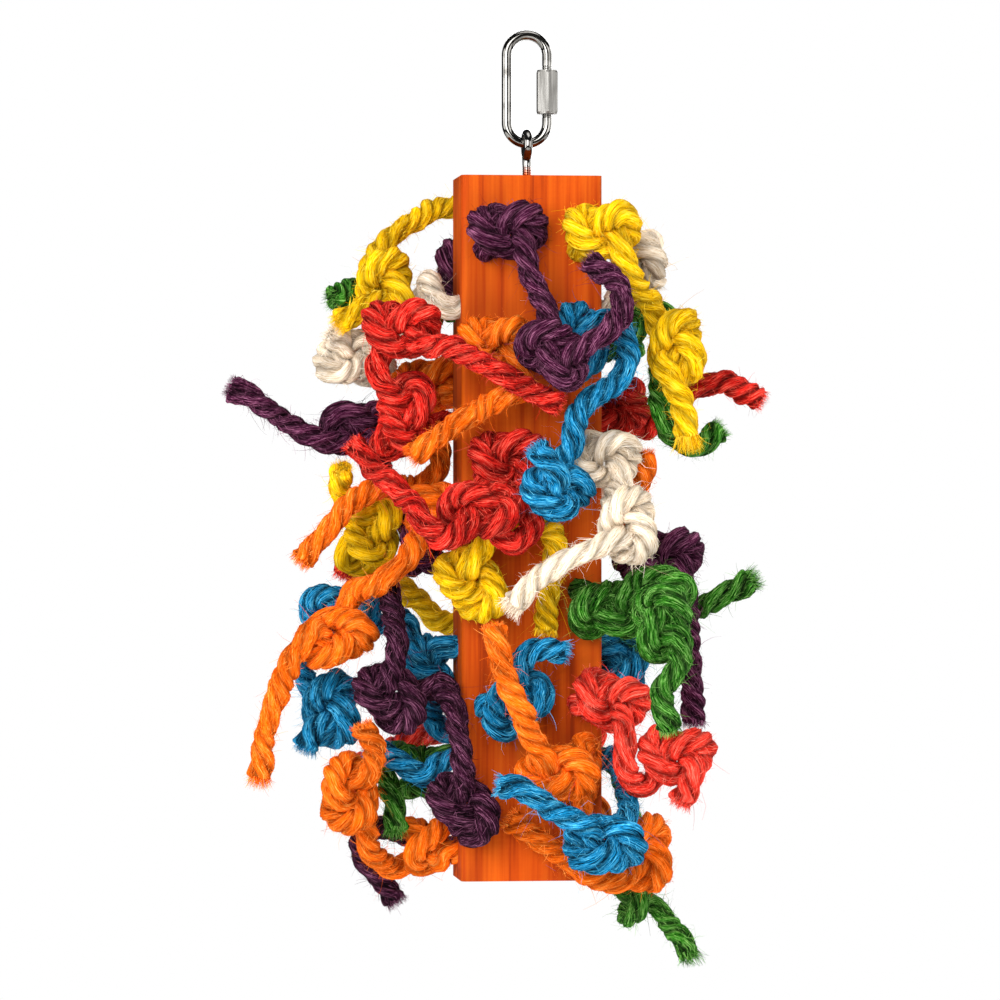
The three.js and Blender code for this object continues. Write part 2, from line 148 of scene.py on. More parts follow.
# Centripetal Catmull-Rom curve through the points, with the ends carried on in a straight line.
def smoothLine(points, steps=24):
    points = numpy.asarray(points, dtype=float)
    before = 2 * points[0] - points[1]
    beyond = 2 * points[-1] - points[-2]
    padded = numpy.vstack([before, points, beyond])
    place = numpy.linspace(0, 1, steps, endpoint=False)[None, :, None]
    p0, p1, p2, p3 = (padded[i:len(padded) - 3 + i, None, :] for i in range(4))
    gap0, gap1, gap2 = (numpy.sqrt(numpy.linalg.norm(b - a, axis=-1, keepdims=True))
                        for a, b in ((p0, p1), (p1, p2), (p2, p3)))
    slope1 = gap1 * ((p1 - p0) / gap0 - (p2 - p0) / (gap0 + gap1) + (p2 - p1) / gap1)
    slope2 = gap1 * ((p2 - p1) / gap1 - (p3 - p1) / (gap1 + gap2) + (p3 - p2) / gap2)
    square = place ** 2
    cube = place ** 3
    line = (2 * cube - 3 * square + 1) * p1 + (cube - 2 * square + place) * slope1
    line = line + (3 * square - 2 * cube) * p2 + (cube - square) * slope2
    return numpy.vstack([line.reshape(-1, 3), points[-1]])


# The distance of each point from the line's start, along the line.
def lengthsAlong(line):
    steps = numpy.linalg.norm(numpy.diff(line, axis=0), axis=1)
    return numpy.concatenate([[0], numpy.cumsum(steps)])


# The same line with its points evenly spaced.
def evenLine(line, spacing, fewest=4):
    along = lengthsAlong(line)
    count = max(fewest, int(round(along[-1] / spacing)) + 1)
    wanted = numpy.linspace(0, along[-1], count)
    return numpy.stack([numpy.interp(wanted, along, line[:, axis]) for axis in range(3)], axis=-1)


# A frame carried along the line without turning about it: tangent, normal and the third direction.
def carriedFrame(line, steepest=0.9):
    tangent = unit(numpy.gradient(line, axis=0))
    upward = numpy.array([0.0, 0.0, 1.0])
    sideways = numpy.array([1.0, 0.0, 0.0])
    normal = numpy.zeros_like(line)
    current = upward if abs(tangent[0, 2]) < steepest else sideways
    for index, direction in enumerate(tangent):
        current = current - direction * current.dot(direction)
        current = current / numpy.linalg.norm(current)
        normal[index] = current
    return tangent, normal, numpy.cross(tangent, normal)


# Camera at the photograph's angle: a level long lens, turned a little so that the left face shows.
cameraSettings = {"yaw": 6.4, "distance": 2060, "aim": (-11.4, 1.3, -196.6), "lens": 173.5, "sensor": 36,
                  "nearest": 100, "furthest": 50000}


def makeCamera(settings):
    yaw = math.radians(settings["yaw"])
    data = bpy.data.cameras.new("camera")
    data.lens = settings["lens"]
    data.sensor_width = settings["sensor"]
    data.clip_start = settings["nearest"] * metre
    data.clip_end = settings["furthest"] * metre
    camera = bpy.data.objects.new("camera", data)
    aim = numpy.array(settings["aim"])
    forward = numpy.array([math.sin(yaw), math.cos(yaw), 0.0])
    camera.location = (aim - forward * settings["distance"]) * metre
    camera.rotation_euler = (math.pi / 2, 0, -yaw)
    bpy.context.scene.collection.objects.link(camera)
    bpy.context.scene.camera = camera


makeCamera(cameraSettings)
print("stage: camera")


# Sisal, dyed and twisted: dry and matt, with streaks along the fibres, and painted shade that darkens the
# grooves between the strands. Tones run from dark to light, the painted groove shade is the share of the
# colour left at the bottom of a groove, and ends are where the darkest and the lightest tone begin. Patches
# are about 18 mm wide, 55 to the metre.
dyes = {
    "purple": {"tones": ("#10000a", "#451632", "#945a78"), "paintedGrooveShade": 0.16, "ends": (0.42, 0.63)},
    "plum": {"tones": ("#0a0006", "#361228", "#8a5470"), "paintedGrooveShade": 0.14, "ends": (0.42, 0.63)},
    "yellow": {"tones": ("#a86c00", "#ffc600", "#ffe24c"), "paintedGrooveShade": 0.44, "ends": (0.38, 0.66)},
    "red": {"tones": ("#560200", "#de221a", "#ff6a56"), "paintedGrooveShade": 0.2, "ends": (0.4, 0.64)},
    "coral": {"tones": ("#900e06", "#ff3a2a", "#ff8a76"), "paintedGrooveShade": 0.3, "ends": (0.38, 0.66)},
    "blue": {"tones": ("#001828", "#107eb4", "#64caf0"), "paintedGrooveShade": 0.12, "ends": (0.41, 0.65)},
    "orange": {"tones": ("#b03a00", "#fc6a08", "#ffa44c"), "paintedGrooveShade": 0.46, "ends": (0.38, 0.66)},
    "green": {"tones": ("#021600", "#2e7418", "#88c062"), "paintedGrooveShade": 0.12, "ends": (0.425, 0.63)},
    "natural": {"tones": ("#b49a78", "#eedac0", "#fff8ec"), "paintedGrooveShade": 0.5, "ends": (0.38, 0.66)},
}
sisalSettings = {"roughness": 0.9, "specular": 0.05, "bump": 1.0, "bumpDepth": 0.5, "tangle": 0.9,
                 "streakDetail": 3.0, "streakRoughness": 0.6, "middleStops": (0.48, 0.53),
                 "patchScale": 55, "patchDetail": 2.0, "patchRange": (0.35, 0.65),
                 "patchShade": (0.64, 1.14), "looseStops": (0.0, 0.45, 1.0)}


def sisalMaterial(name, dye, settings):
    material, tree = newMaterial(name)
    fibre = addNode(tree, "ShaderNodeAttribute", {"attribute_name": "fibre"})
    streak = addNode(tree, "ShaderNodeTexNoise", None, {
        "Vector": fibre.outputs["Vector"], "Scale": 1.0, "Detail": settings["streakDetail"],
        "Roughness": settings["streakRoughness"], "Distortion": settings["tangle"]})
    dark, middle, light = (linear(code) for code in dye["tones"])
    stops = (dye["ends"][0], *settings["middleStops"], dye["ends"][1])
    ramp = addRamp(tree, streak.outputs["Fac"], list(zip(stops, (dark, middle, middle, light))))
    # Painted shade: the colour is darkened in the grooves between the strands, by the mask of painted groove
    # shade that the rope's mesh carries.
    depth = addNode(tree, "ShaderNodeAttribute", {"attribute_name": "paintedGrooveShade"})
    shade = addNode(tree, "ShaderNodeMapRange", None, {
        "Value": depth.outputs["Fac"], "From Min": 0.0, "From Max": 1.0,
        "To Min": 1.0, "To Max": dye["paintedGrooveShade"]})
    place = addNode(tree, "ShaderNodeTexCoord")
    patch = addNode(tree, "ShaderNodeTexNoise", None, {
        "Vector": place.outputs["Object"], "Scale": settings["patchScale"],
        "Detail": settings["patchDetail"]})
    uneven = addNode(tree, "ShaderNodeMapRange", None, {
        "Value": patch.outputs["Fac"],
        "From Min": settings["patchRange"][0], "From Max": settings["patchRange"][1],
        "To Min": settings["patchShade"][0], "To Max": settings["patchShade"][1]})
    both = addNode(tree, "ShaderNodeMath", {"operation": "MULTIPLY"}, {
        0: shade.outputs["Result"], 1: uneven.outputs["Result"]})
    colour = addNode(tree, "ShaderNodeMix", {"data_type": "RGBA", "blend_type": "MULTIPLY"}, {
        "Factor": 1.0, 6: ramp.outputs["Color"], 7: both.outputs["Value"]})
    bump = addNode(tree, "ShaderNodeBump", None, {
        "Height": streak.outputs["Fac"], "Strength": settings["bump"],
        "Distance": settings["bumpDepth"] * metre})
    shader = addNode(tree, "ShaderNodeBsdfPrincipled", None, {
        "Base Color": colour.outputs[2], "Roughness": settings["roughness"],
        "Specular IOR Level": settings["specular"], "Normal": bump.outputs["Normal"]})
    finishMaterial(tree, shader)
    return material


# Loose sisal fibres: each has one tone of its own, from the rope's dark to its light.
def fuzzMaterial(name, dye, settings):
    material, tree = newMaterial(name)
    tone = addNode(tree, "ShaderNodeAttribute", {"attribute_name": "tone"})
    colours = [linear(code) for code in dye["tones"]]
    ramp = addRamp(tree, tone.outputs["Fac"], list(zip(settings["looseStops"], colours)))
    shader = addNode(tree, "ShaderNodeBsdfPrincipled", None, {
        "Base Color": ramp.outputs["Color"], "Roughness": settings["roughness"],
        "Specular IOR Level": settings["specular"]})
    finishMaterial(tree, shader)
    return material


sisal = {dye: sisalMaterial(f"sisal_{dye}", tones, sisalSettings) for dye, tones in dyes.items()}
fuzz = {dye: fuzzMaterial(f"sisal_fibre_{dye}", tones, sisalSettings) for dye, tones in dyes.items()}

# Where the holes are, as in the solids, and the knot's shape, a little tighter than theirs.
holes = {"top": -59, "front": 19, "side": 30, "column": 20, "firstRow": 32, "rowPitch": 48,
         "sideRows": (56, 104, 152, 200, 248, 288), "pair": 10, "lead": 4.4, "inset": 2}
knotForm = {"spread": 4.25, "rise": 6.2, "lobe": 2.2, "start": 0.75, "shift": 0.5, "steps": 16}

# Front-to-back ropes, by row and column: the front tail, then the back tail. A place with six numbers
# is a knot: its middle, the side it faces, its heading and its hand.
frontRopes = [
    {"name": "rope_front_1_left", "dye": "purple", "row": 0, "column": -1, "tails": [[
        [-11.5, -31.5, -83.5, 0, 0, 1],
        [-3.5, -40, -102], [1.5, -46, -114],
        [5, -57, -135, 0, -40, -1],
        [26, -62, -127], [33, -60, -117], [31, -55, -106], [21, -50, -98],
    ], [
        [-24, 31.5, -99.5, 180, 270, 1],
        [-7, 40, -108], [0, 41, -116], [2, 40, -126],
    ]]},
    {"name": "rope_front_1_right", "dye": "yellow", "row": 0, "column": 1, "tails": [[
        [28.5, -31.5, -83.5, 0, 0, 1],
        [39, -37, -100], [44, -33, -109], [50, -28, -114],
        [60, -28, -132, 0, 270, 1],
        [58, -36, -148], [62, -36, -157], [64, -34, -168],
    ], [
        [27, 31.5, -82.5, 180, 90, 1],
        [8, 40, -70], [-6, 41, -69], [-22, 40, -69], [-36, 34, -70.5], [-44, 27, -75],
        [-52.5, 20, -80.5], [-61, 13, -88],
        [-61, 2, -106, 0, 270, 1],
        [-80, -6, -121],
    ]]},
    {"name": "rope_front_2_left", "dye": "orange", "row": 1, "column": -1, "tails": [[
        [-16, -33, -131.5, 0, 0, 1],
        [-7, -43, -149], [-18, -43, -155], [-30, -43, -162], [-42, -44, -170], [-52, -43, -177],
    ], [
        [-28.5, 31.5, -146.5, 180, 0, -1],
        [-47, 36, -141], [-53, 28, -146], [-51, 18, -153], [-42, 13, -161], [-37, 11, -171], [-37, 8, -182],
        [-44, 3, -190], [-56, -5, -191], [-73, -15, -195], [-85, -18, -207], [-97, -19, -221],
    ]]},
    {"name": "rope_front_2_right", "dye": "blue", "row": 1, "column": 1, "tails": [[
        [18.5, -31.5, -130, 0, 90, 1],
        [33, -39, -121], [38, -42, -133], [34, -45, -146], [22, -46, -154], [15, -48, -163],
        [13.5, -48, -173],
        [6, -57, -193, 50, 180, 1],
        [-3, -68, -176],
    ], [
        [13, 31.5, -147.5, 180, 270, 1],
        [31, 39, -155], [37, 38, -161], [38, 36, -169],
    ]]},
    {"name": "rope_front_3_left", "dye": "red", "row": 2, "column": -1, "tails": [[
        [-11.5, -31.5, -179.5, 0, 0, 1],
        [-4, -42, -195], [-4, -45, -204], [-6, -49, -211], [-13, -53, -215],
        [-26, -57, -201, 0, 180, -1],
        [-41, -63, -213], [-48, -58, -208], [-54, -51, -199], [-61, -48, -191], [-70, -46, -183],
        [-77, -44, -174],
    ], [
        [-13, 31.5, -195.5, 180, 270, -1],
        [-32, 42, -205], [-42, 44, -197], [-50, 43, -192], [-59, 41, -200], [-68, 38, -214], [-75, 35, -228],
    ]]},
    {"name": "rope_front_3_right", "dye": "natural", "row": 2, "column": 1, "tails": [[
        [28.5, -31.5, -179.5, 0, 0, 1],
        [33, -43, -194],
        [35.5, -55, -207, 0, 270, 1],
        [17, -61, -218], [6, -60, -224], [-4, -57, -231], [-11, -55, -239],
    ], [
        [27, 31.5, -195.5, 180, 270, -1],
        [9, 40, -204], [4, 41, -210], [4, 40, -218],
    ]]},
    {"name": "rope_front_4_left", "dye": "yellow", "row": 3, "column": -1, "tails": [[
        [-27, -32.5, -231.5, 0, 135, 1],
        [-20, -38, -212], [-9, -38, -209], [3, -36, -207], [8, -34, -214], [6, -33, -230], [4, -33, -250],
    ], [
        [-15.5, 31.5, -243.5, 180, 270, -1],
        [-34, 41, -249], [-44, 42, -239], [-55, 36, -232], [-67, 27, -226], [-76, 20, -221],
        [-66, 12, -208, 0, 90, -1],
        [-80, 0, -192], [-80, -8, -184],
    ]]},
    {"name": "rope_front_4_right", "dye": "green", "row": 3, "column": 1, "tails": [[
        [30.5, -31.5, -242.5, 0, 0, -1],
        [44, -39, -230], [53, -44, -229], [61, -49, -234],
        [50.5, -57, -248, 0, 270, -1],
        [57, -62, -264], [50, -60, -276], [53, -57, -291],
    ], [
        [15.5, 31.5, -243.5, 180, 270, 1],
        [36, 41, -252], [50, 38, -249], [62, 28, -245], [74, 16, -244], [84, 11, -239.5], [97, 8, -232],
    ]]},
    {"name": "rope_front_5_left", "dye": "blue", "row": 4, "column": -1, "tails": [[
        [-9, -31.5, -282, 0, 45, -1],
        [-6, -40, -263], [1, -41, -259], [10, -40, -260],
    ], [
        [-15.5, 31.5, -291.5, 180, 270, -1],
        [-33, 40, -297], [-37, 38, -286], [-37, 36, -274],
    ]]},
    {"name": "rope_front_5_right", "dye": "red", "row": 4, "column": 1, "tails": [[
        [32, -31.5, -281.5, 0, -20, 1],
        [36, -43, -300], [37.5, -42, -311], [45, -36, -317],
        [59, -38, -304.5, 0, 0, 1],
        [60, -47, -322],
    ], [
        [27, 31.5, -291.5, 180, 270, -1],
        [8, 46, -299], [-8, 52, -295], [-26, 52, -296], [-43, 50, -301], [-58, 46, -306],
        [-68, 37, -311], [-71, 27, -319],
    ]]},
    {"name": "rope_front_6_left", "dye": "purple", "row": 5, "column": -1, "tails": [[
        [-30, -32, -325, 0, 135, 1],
        [-32, -42, -305], [-34, -41, -293], [-35, -33, -283], [-40, -20, -275],
        [-60.5, -27, -279, 0, 135, 1],
        [-59, -32, -257], [-60, -23, -244], [-61, -17, -231],
    ], [
        [-13, 31.5, -339.5, 180, 270, -1],
        [-34, 40, -347], [-48, 40, -342], [-61, 36, -339], [-69, 30, -343], [-67, 27, -353],
        [-60, 25, -361], [-55, 24, -368],
    ]]},
    {"name": "rope_front_6_right", "dye": "orange", "row": 5, "column": 1, "tails": [[
        [22, -26, -321], [24, -26, -310], [22, -29, -300],
        [8, -42, -311, 0, 180, 1],
        [-4, -50, -295], [-8, -53, -286], [-13, -54, -276], [-17, -53, -264], [-20, -51, -251],
    ], [
        [27, 31.5, -339.5, 180, 270, -1],
        [9, 40, -348], [4, 40, -356],
    ]]},
]

# Side-to-side ropes, by row and depth: the left tail, then the right tail.
sideRopes = [
    {"name": "rope_side_1_front", "dye": "natural", "row": 0, "depth": -1, "tails": [[
        [-39, -9, -112], [-42, -6, -104], [-42, 2, -103], [-45, 5, -112], [-48, 4, -124], [-56, 8, -130],
        [-73, 7, -135.5, 0, 180, 1],
        [-83, 0, -127],
    ], [
        [38, -9.5, -110],
        [48.5, 1, -93, 90, 0, 1],
        [56, 11, -103],
    ]]},
    {"name": "rope_side_1_back", "dye": "green", "row": 0, "depth": 1, "tails": [[
        [-39, 15, -117], [-47, 25, -114], [-59, 28, -109], [-71, 24, -106], [-81, 16, -110],
    ], [
        [43, 20, -125, 90, 0, -1],
        [57, 27, -114], [65, 13, -121], [62, -3, -129], [56, -10, -139], [55, -14, -151], [57, -15, -162],
        [62, -12, -170], [71, -10, -174], [81, -8, -167],
    ]]},
    {"name": "rope_side_2", "dye": "red", "row": 1, "depth": 0, "tails": [[
        [-41, -2, -166], [-51, -5, -173], [-63, -11, -174],
        [-54, -24, -160, 0, 90, -1],
        [-66, -28, -142],
        [-57, -36, -125, 0, 0, 1],
        [-38, -50, -133], [-24, -51, -140], [-14, -52, -146], [-4, -52, -151], [6, -50, -156],
    ], [
        [42.5, 12, -156, 90, 0, 1],
        [54, 18, -166], [62, 10, -159], [72, 1, -149], [85, -4, -146.5], [99, -4, -153],
    ]]},
    {"name": "rope_side_3_front", "dye": "orange", "row": 2, "depth": -1, "tails": [[
        [-42.5, -19, -202.5, -90, 0, 1],
        [-52, -31, -218], [-60, -32, -226], [-68, -27, -233], [-75, -18, -235],
        [-84, -20, -254, 0, 200, 1],
        [-101, -28, -261], [-107, -26, -274], [-111, -22, -287], [-114, -19, -300], [-115, -17, -312],
    ], [
        [37.5, -12, -205], [44, -15, -195], [48, -16, -186], [48, -17, -178],
    ]]},
    {"name": "rope_side_3_back", "dye": "purple", "row": 2, "depth": 1, "tails": [[
        [-42.5, 19, -217, -90, 180, 1],
        [-50, 28, -200], [-57, 24, -188], [-63, 17, -178],
        [-71, 7, -166.5, 0, 180, -1],
        [-86, 0, -172], [-95, 0, -168], [-104, 0, -163], [-112, 0, -157], [-119, 0, -152], [-125, 0, -149],
    ], [
        [40, 11, -215], [45, 6, -226],
        [59, -8, -221.5, 0, 0, 1],
        [67, -15, -241], [68, -15, -256], [69, -14, -273], [70, -14, -290],
    ]]},
    {"name": "rope_side_4", "dye": "blue", "row": 3, "depth": 0, "tails": [[
        [-42.5, 9, -266, -90, 180, 1],
        [-51, 17, -248], [-60, 15, -250],
        [-79.5, 8, -245, 0, 180, -1],
        [-93, 3, -257], [-96, 6, -267],
        [-84, 6, -286, 0, 270, 1],
        [-94, 0, -301],
    ], [
        [42.5, 9, -266, 90, 0, -1],
        [50, 17, -250], [58, 10, -242],
    ]]},
    {"name": "rope_side_5_front", "dye": "blue", "row": 4, "depth": -1, "tails": [[
        [-39, -11, -309], [-46, -14, -313], [-54, -12, -309], [-61, -10, -304], [-67, -8, -302],
    ], [
        [38, -12, -308], [39.5, -21, -316], [39, -33, -325], [37, -44, -330],
        [26, -56, -339, 0, 180, 1],
        [9, -63, -328], [0, -61, -323], [-10, -60, -316], [-17, -59, -315],
    ]]},
    {"name": "rope_side_5_back", "dye": "green", "row": 4, "depth": 1, "tails": [[
        [-42.5, 20, -314, -90, 180, 1],
        [-55, 26, -305], [-62, 18, -309], [-59, 7, -318], [-57, 0, -327], [-57, -4, -336],
    ], [
        [39, 12, -310], [44, 13, -322], [48, 18, -336], [51, 21, -346],
        [49, 12, -364, 50, 270, -1],
        [64, 10, -381], [68, 6, -386], [70, 3, -391],
    ]]},
    {"name": "rope_side_6", "dye": "orange", "row": 5, "depth": 0, "tails": [[
        [-42.5, 8, -345, -90, 180, -1],
        [-54, 14, -354], [-62, 4, -351], [-69, -8, -343],
        [-77, -18, -320.5, 0, 90, 1],
        [-67, -26, -303], [-72, -26, -293],
    ], [
        [39, -2, -346],
        [48.5, -14, -347, 0, 270, 1],
        [36, -26, -358], [26, -28, -356], [14, -28, -348], [2, -27, -340], [-9, -26, -332],
    ]]},
]


# One overhand knot. With t from pi + start to 3 pi - start, along = -sin t - lobe sin 2t,
# across = cos t - lobe cos 2t - shift, and outward = sin 3t.
def knotPoints(place):
    facing, heading, side = place[3:6]
    yaw = math.radians(facing)
    turn = math.radians(heading)
    outward = numpy.array([math.sin(yaw), -math.cos(yaw), 0.0])
    right = numpy.array([math.cos(yaw), math.sin(yaw), 0.0])
    along = right * math.cos(turn) + numpy.array([0.0, 0.0, math.sin(turn)])
    across = side * numpy.cross(outward, along)
    start = math.pi + knotForm["start"]
    t = numpy.linspace(start, 4 * math.pi - start, knotForm["steps"] + 1)[:, None]
    lobe = knotForm["lobe"]
    flat = numpy.sin(t) + lobe * numpy.sin(2 * t)
    high = numpy.cos(t) - lobe * numpy.cos(2 * t) - knotForm["shift"]
    spread = knotForm["spread"]
    centre = numpy.array(place[:3])
    level = centre - spread * flat * along + spread * high * across
    return level + knotForm["rise"] * numpy.sin(3 * t) * outward


# A tail's places in order, each knot as the points of its curve.
def tailPoints(tail):
    pieces = []
    for place in tail:
        if len(place) > 3:
            pieces.append(knotPoints(place))
        else:
            pieces.append(numpy.array([place], dtype=float))
    return numpy.vstack(pieces)


# The two tails of one rope as smooth lines, each from the middle of its hole to its free end, and the two
# mouths of the hole.
def ropeTails(rope):
    if "depth" in rope:
        reach = holes["side"]
        height = holes["top"] - holes["sideRows"][rope["row"]]
        middle = numpy.array([0.0, rope["depth"] * holes["pair"], height])
        direction = numpy.array([1.0, 0.0, 0.0])
    else:
        reach = holes["front"]
        height = holes["top"] - holes["firstRow"] - rope["row"] * holes["rowPitch"]
        middle = numpy.array([rope["column"] * holes["column"], 0.0, height])
        direction = numpy.array([0.0, 1.0, 0.0])
    lead = reach + holes["lead"]
    inner = reach - holes["inset"]
    run = [middle + direction * place for place in (-lead, -inner, 0, inner, lead)]
    first = tailPoints(rope["tails"][0])[::-1]
    line = smoothLine(numpy.vstack([first, run, tailPoints(rope["tails"][1])]))
    split = int(numpy.argmin(numpy.linalg.norm(line - middle, axis=1)))
    mouths = (middle - direction * reach, middle + direction * reach)
    return (line[:split + 1][::-1], line[split:]), mouths


# Three twisted strands. From the rope's middle line, r = offset cos a + root(strand^2 - offset^2 sin^2 a),
# where a is the angle from the nearest strand, and the three turn once in each lay. Fibres lie in ridges
# along the rope, it swells where it bends tightly, and its cut end opens out. Real fibres are about 0.2 mm
# wide, and the streaks are drawn wider so that they show.
# Two entries set the painted shade: the depth below a strand's crown where the grooves' painted shade is
# full, and how much of it the tip of the cut end gets.
ropeForm = {"strands": 3, "strand": 3.06, "offset": 1.82, "lay": 26, "diameter": 9.5, "split": 4,
            "spacing": 1.1, "fineSpacing": 0.5, "around": 48, "leastSquare": 0.2,
            "fibreWidth": 0.36, "fibreLength": 3.6, "fibreShift": 3.7, "streakTurn": 0.35,
            "ridge": 0.28, "ridgeLength": 2.8, "ridgeBins": 44, "paintedShadeDepth": 1.4, "tipPaintedShade": 0.6,
            "unevenness": 0.09, "unevenLength": 9, "fewestMarks": 3, "wander": 0.7,
            "swell": 0.1, "bendRadius": 10, "smoothing": 9, "thinFade": 1.3,
            "flare": 0.2, "flareLength": 16, "offsetFlare": 2, "strandFlare": 0.3,
            "capHeights": (0.9, 1.5, 1.8), "capSizes": (0.95, 0.72, 0.35)}


# Random ridges along the rope: a table of heights by distance and by angle, read between its entries.
def ridgeHeights(random, along, turn, form):
    bins = form["ridgeBins"]
    table = random.normal(0, 1, (int(along[-1] / form["ridgeLength"]) + 3, bins))
    row = along[:, None] / form["ridgeLength"]
    low = row.astype(int)
    rowPart = row - low
    column = turn / (2 * math.pi) * bins % bins
    left = column.astype(int) % bins
    right = (left + 1) % bins
    columnPart = column - numpy.floor(column)
    near = table[low, left] * (1 - columnPart) + table[low, right] * columnPart
    far = table[low + 1, left] * (1 - columnPart) + table[low + 1, right] * columnPart
    return near * (1 - rowPart) + far * rowPart


# A tail's surface: rings of points round the line, closed inside the block and rounded off at the cut end.
def ropeMesh(name, line, material, seed, form, thin):
    random = numpy.random.default_rng(seed)
    around = form["around"]
    strands = form["strands"]
    along = lengthsAlong(line)
    tangent, normal, third = carriedFrame(line)
    angle = numpy.linspace(0, 2 * math.pi, around, endpoint=False)
    share = 2 * math.pi / strands
    near = (angle + share / 2) % share - share / 2
    opening = numpy.clip(1 - (along[-1] - along) / form["flareLength"], 0, 1)
    flare = form["flare"] * opening[:, None] ** 2
    offset = form["offset"] * (1 + form["offsetFlare"] * flare)
    strand = form["strand"] * (1 + form["strandFlare"] * flare)
    square = numpy.maximum(strand ** 2 - (offset * numpy.sin(near)) ** 2, form["leastSquare"])
    radius = offset * numpy.cos(near) + numpy.sqrt(square)
    # Painted shade mask: 0 on a strand's crown and 1 at the bottom of a groove between strands, where the
    # colour is darkened.
    paintedGrooveShade = numpy.clip((radius.max(axis=1, keepdims=True) - radius) / form["paintedShadeDepth"], 0, 1)
    bend = numpy.linalg.norm(numpy.gradient(tangent, along, axis=0), axis=1) * form["bendRadius"]
    window = numpy.ones(form["smoothing"]) / form["smoothing"]
    bend = numpy.convolve(numpy.clip(bend, 0, 1), window, mode="same")
    places = max(form["fewestMarks"], int(along[-1] / form["unevenLength"]))
    marks = numpy.linspace(0, along[-1], places)
    slow = numpy.stack([numpy.interp(along, marks, random.normal(0, 1, places)) for each in range(strands)],
                       axis=-1)
    which = (numpy.floor((angle + share / 2) / share) % strands).astype(int)
    radius = radius * (1 + form["unevenness"] * slow[:, which]) * (1 + form["swell"] * bend[:, None])
    wander = numpy.interp(along, marks, random.normal(0, form["wander"], places))
    twist = -2 * math.pi * along / form["lay"] + wander + random.uniform(0, 2 * math.pi)
    streakTurn = angle[None, :] + form["streakTurn"] * twist[:, None]
    thinShare, thinLength = thin
    thickness = numpy.interp(along, (thinLength, form["thinFade"] * thinLength), (thinShare, 1.0))[:, None]
    radius = thickness * (radius + form["ridge"] * ridgeHeights(random, along, streakTurn, form))
    turn = angle[None, :] + twist[:, None]
    away = numpy.cos(turn)[..., None] * normal[:, None, :] + numpy.sin(turn)[..., None] * third[:, None, :]
    points = line[:, None, :] + radius[..., None] * away
    caps = [line[-1] + tangent[-1] * height + radius[-1][:, None] * size * away[-1]
            for height, size in zip(form["capHeights"], form["capSizes"])]
    surface = numpy.concatenate([points, numpy.stack(caps)])
    allRings = len(surface)
    tip = line[-1] + tangent[-1] * form["capHeights"][-1]
    vertices = numpy.vstack([surface.reshape(-1, 3), line[0], tip])
    centre = allRings * around
    faces = list(gridFaces(allRings, around)[:, ::-1])
    faces += list(fanFaces(0, around, centre, False))
    faces += list(fanFaces(allRings - 1, around, centre + 1, True))
    made = makeObject(name, vertices, faces, material)
    size = (form["strand"] + form["offset"]) / form["fibreWidth"]
    distance = numpy.repeat(along[:, None] / form["fibreLength"], around, axis=1)
    distance = distance + seed * form["fibreShift"]
    fibre = numpy.stack([size * numpy.cos(streakTurn), size * numpy.sin(streakTurn), distance], axis=-1)
    fibre = numpy.concatenate([fibre, numpy.repeat(fibre[-1:], len(caps), axis=0)])
    paintedGrooveShade = numpy.concatenate([paintedGrooveShade, numpy.repeat(paintedGrooveShade[-1:], len(caps), axis=0)])
    fibre = numpy.vstack([fibre.reshape(-1, 3), fibre[0, :1], fibre[-1, :1]])
    addAttribute(made, "fibre", "FLOAT_VECTOR", fibre)
    # The painted groove shade is full at the closed end inside the block and part way at the tip of the cut
    # end.
    addAttribute(made, "paintedGrooveShade", "FLOAT", numpy.concatenate([paintedGrooveShade.ravel(), [1.0, form["tipPaintedShade"]]]))
    return made


# Fibres on the rope: most cling to it, some are loose, a few are long, and the cut end is a brush. Each is
# an arc that turns by an angle t: along = sin(t s) / t and inward = (1 - cos(t s)) / t, with s from 0 at its
# root to 1 at its tip. One that would leave the solids' box by more than margin is cut short.
fuzzForm = {"perLength": 10, "width": 0.2, "lengths": (1.5, 5), "outward": 0.2, "scatter": 0.42, "curl": 0.7,
            "looseShare": 0.3, "looseLengths": (2, 8), "looseOutward": 0.5, "looseCurl": 1.1,
            "wildShare": 0.02, "wildLengths": (9, 18), "wildCurl": 2.4, "leastTurn": 0.2, "sag": 0.1,
            "margin": 4.5, "cut": 0.3, "taper": 0.7, "points": 4, "radii": (3.5, 4.5), "seedShift": 1000,
            "brush": 320, "brushLength": 2.8, "brushLengths": (0.3, 1.5), "brushWidth": 0.28,
            "brushSpread": 0.26, "brushScatter": 0.6, "brushStart": 0.6}


